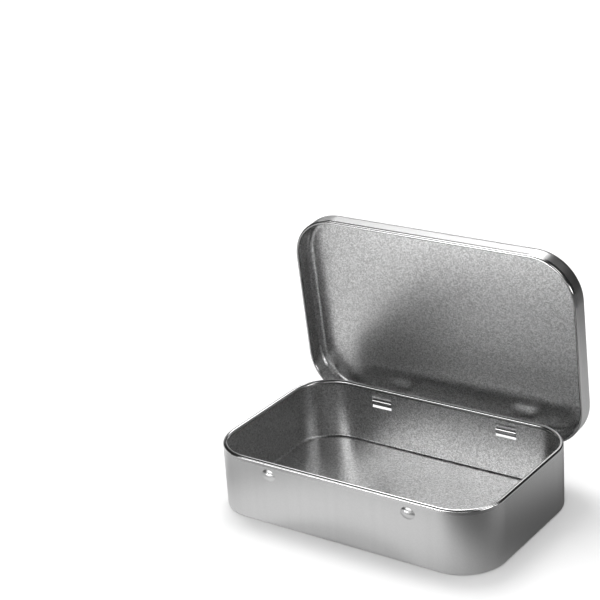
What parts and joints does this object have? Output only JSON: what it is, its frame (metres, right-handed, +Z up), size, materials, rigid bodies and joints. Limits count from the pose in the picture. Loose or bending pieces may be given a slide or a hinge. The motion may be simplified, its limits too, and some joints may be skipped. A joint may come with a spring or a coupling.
{
  "type": "mint tin",
  "caption": "Hinged pocket tin of drawn tinplate, shown open: round-cornered base with snap bumps and a skirted lid on curled hinge tabs.",
  "frame": {"origin": "centre of the base's underside", "axes": "+X along the hinge, which is the tin's length, +Y to the rear, where the hinge is, and +Z up"},
  "size_m": [0.095, 0.0652, 0.0749],
  "materials": {
    "tin_base": "plain tinplate, satin",
    "tin_lid": "plain tinplate, satin"
  },
  "bodies": {
    "base": {"tin_base": "tin_base"},
    "lid": {"tin_lid": "tin_lid"}
  },
  "joints": [
    {"name": "lid_hinge", "type": "hinge", "parent": "base", "child": "lid", "pos_m": [0, 0.02975, 0.01438], "axis": [1, 0, 0], "range_deg": [0, 84.5]}
  ]
}
